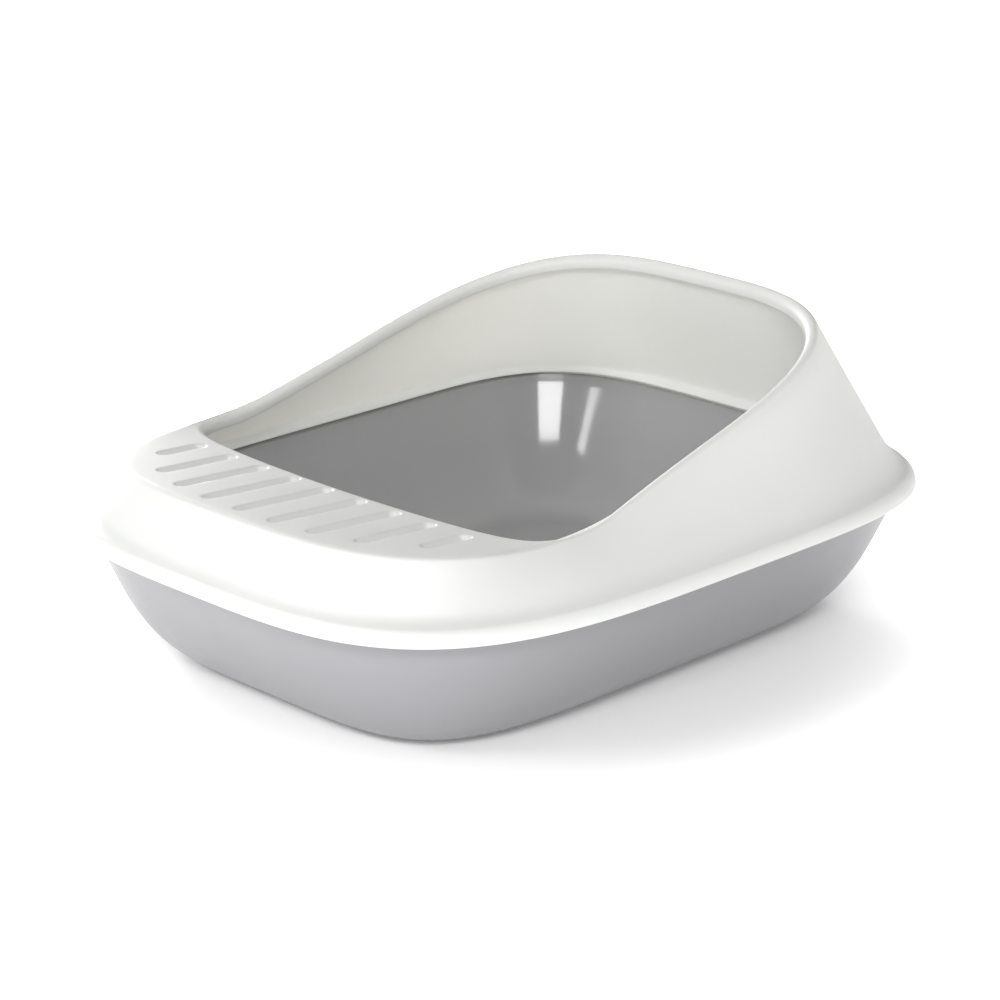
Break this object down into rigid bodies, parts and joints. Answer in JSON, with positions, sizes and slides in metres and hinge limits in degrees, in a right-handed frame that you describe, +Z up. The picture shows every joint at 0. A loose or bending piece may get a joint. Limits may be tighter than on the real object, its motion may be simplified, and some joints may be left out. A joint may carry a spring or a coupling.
{
  "type": "cat litter box",
  "caption": "Open-top cat litter tray: a grey tub with a white push-on raised rim, low grooved entry step in front and a high curved back.",
  "frame": {"origin": "under the middle of the tub's floor, on the surface it stands on", "axes": "+Z up, +Y from the entry step towards the high back, +X across the tray; the tray is symmetric about the YZ plane"},
  "size_m": [0.4542, 0.56, 0.2227],
  "materials": {
    "grey_plastic": "moulded polypropylene, satin outside and glossier inside",
    "white_plastic": "moulded polypropylene, satin"
  },
  "bodies": {
    "tub_body": {"tub": "grey_plastic"},
    "hood_body": {"hood": "white_plastic"}
  },
  "joints": [
    {"name": "hood_lift", "type": "slide", "parent": "tub_body", "child": "hood_body", "axis": [0, 0, 1], "range_m": [0, 0.12]}
  ]
}
